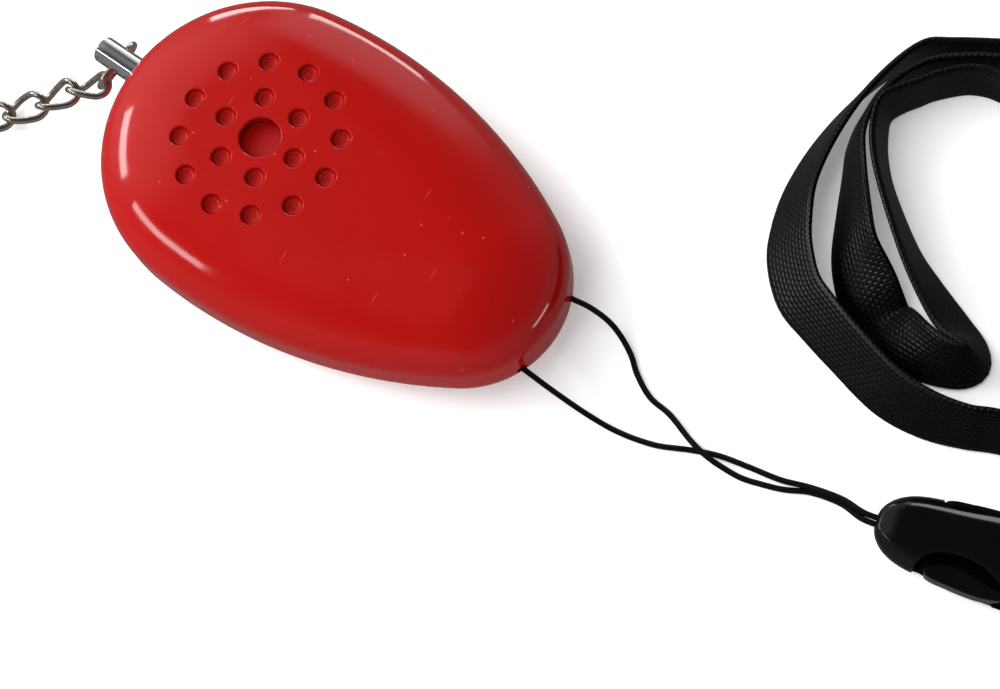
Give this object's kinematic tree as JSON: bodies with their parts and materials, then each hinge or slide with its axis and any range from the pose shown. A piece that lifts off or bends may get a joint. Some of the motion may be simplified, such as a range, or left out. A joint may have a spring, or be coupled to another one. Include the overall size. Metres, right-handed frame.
{
  "type": "personal alarm",
  "caption": "Pebble-shaped personal alarm with a sound hole ringed by dimples, a pull pin on a curb chain, and a neck strap joined by a side-release buckle and two thin cords.",
  "frame": {"origin": "middle of the flat rear face, which lies on the table", "axes": "+X towards the narrow end where the cords leave, +Z out of the face with the sound hole, +Y to the left seen from above with +X ahead"},
  "size_m": [0.2463, 0.1394, 0.02],
  "materials": {
    "red_plastic": "gloss moulded",
    "screw_steel": "plated",
    "disc_brass": "rolled",
    "ceramic": "silvered ceramic",
    "inner_black": "moulded",
    "board_green": "solder mask",
    "coil_copper": "lacquered copper winding",
    "can_blue": "shrink sleeve",
    "contact_metal": "nickel plated",
    "cell_sleeve": "printed sleeve left plain",
    "pin_chrome": "plated",
    "chain_nickel": "nickel plated, dulled",
    "black_cord": "braided",
    "buckle_black": "moulded",
    "strap_black": "woven"
  },
  "bodies": {
    "housing": {"front_shell": "red_plastic", "rear_shell": "red_plastic", "case_screws": "screw_steel", "piezo_disc": "disc_brass", "piezo_ceramic": "ceramic", "sounder_ring": "inner_black", "circuit_board": "board_green", "control_chip": "inner_black", "step_up_coil": "coil_copper", "driver_transistor": "inner_black", "board_resistors": "inner_black", "board_capacitor": "can_blue", "pin_socket": "inner_black", "switch_leaf_upper": "contact_metal", "switch_leaf_lower": "contact_metal", "battery_cell_a": "cell_sleeve", "battery_cell_b": "cell_sleeve", "battery_bridge": "contact_metal", "spring_terminal": "contact_metal", "plate_terminal": "contact_metal", "cord_strand_a": "black_cord", "cord_strand_b": "black_cord", "cord_knot": "black_cord", "buckle_socket": "buckle_black"},
    "pin": {"pull_pin": "pin_chrome"},
    "loop": {"pin_loop": "chain_nickel"},
    "chain_link_1": {"chain_link_1": "chain_nickel"},
    "chain_link_2": {"chain_link_2": "chain_nickel"},
    "chain_link_3": {"chain_link_3": "chain_nickel"},
    "chain_link_4": {"chain_link_4": "chain_nickel"},
    "chain_link_5": {"chain_link_5": "chain_nickel"},
    "chain_link_6": {"chain_link_6": "chain_nickel"},
    "ring": {"key_ring": "chain_nickel"},
    "door": {"battery_door": "red_plastic", "door_screw": "screw_steel"},
    "plug": {"buckle_plug": "buckle_black", "neck_strap": "strap_black"},
    "arm_left": {"plug_arm_left": "buckle_black"},
    "arm_right": {"plug_arm_right": "buckle_black"}
  },
  "joints": [
    {"name": "pin_pull", "type": "slide", "parent": "housing", "child": "pin", "axis": [-0.9991, 0.0419, 0], "range_m": [0, 0.022]},
    {"name": "loop_swing", "type": "hinge", "parent": "pin", "child": "loop", "pos_m": [-0.04457, 0.00123, 0.0095], "axis": [0.0419, 0.9991, 0], "range_deg": [-50, 15]},
    {"name": "link_1_swing", "type": "hinge", "parent": "loop", "child": "chain_link_1", "pos_m": [-0.04493, -0.00293, 0.00762], "axis": [0.515, -0.8572, 0], "range_deg": [-12, 12]},
    {"name": "link_2_swing", "type": "hinge", "parent": "chain_link_1", "child": "chain_link_2", "pos_m": [-0.04999, -0.00596, 0.00559], "axis": [0, 0, 1], "range_deg": [-12, 12]},
    {"name": "link_3_swing", "type": "hinge", "parent": "chain_link_2", "child": "chain_link_3", "pos_m": [-0.05411, -0.01023, 0.00366], "axis": [0.6691, -0.7431, 0], "range_deg": [-12, 12]},
    {"name": "link_4_swing", "type": "hinge", "parent": "chain_link_3", "child": "chain_link_4", "pos_m": [-0.05861, -0.01429, 0.00215], "axis": [0, 0, 1], "range_deg": [-12, 12]},
    {"name": "link_5_swing", "type": "hinge", "parent": "chain_link_4", "child": "chain_link_5", "pos_m": [-0.06324, -0.01845, 0.00172], "axis": [0.6691, -0.7431, 0], "range_deg": [-12, 12]},
    {"name": "link_6_swing", "type": "hinge", "parent": "chain_link_5", "child": "chain_link_6", "pos_m": [-0.06787, -0.02262, 0.00194], "axis": [0, 0, 1], "range_deg": [-12, 12]},
    {"name": "ring_swing", "type": "hinge", "parent": "chain_link_6", "child": "ring", "pos_m": [-0.0725, -0.02679, 0.00237], "axis": [0.6691, -0.7431, 0], "range_deg": [-12, 12]},
    {"name": "door_off", "type": "slide", "parent": "housing", "child": "door", "axis": [0, 0, -1], "range_m": [0, 0.012]},
    {"name": "plug_out", "type": "slide", "parent": "housing", "child": "plug", "axis": [0.9703, 0.2419, 0], "range_m": [0, 0.024]},
    {"name": "arm_left_squeeze", "type": "hinge", "parent": "plug", "child": "arm_left", "pos_m": [0.11552, 0.0126, 0.003], "axis": [0, 0, 1], "range_deg": [0, 5], "stiffness_Nm_per_rad": 0.02},
    {"name": "arm_right_squeeze", "type": "hinge", "parent": "plug", "child": "arm_right", "pos_m": [0.11765, 0.00406, 0.003], "axis": [0, 0, -1], "range_deg": [0, 5], "stiffness_Nm_per_rad": 0.02}
  ],
  "couplings": [
    {"joint": "arm_right_squeeze", "follows": "arm_left_squeeze", "ratio": 1}
  ]
}
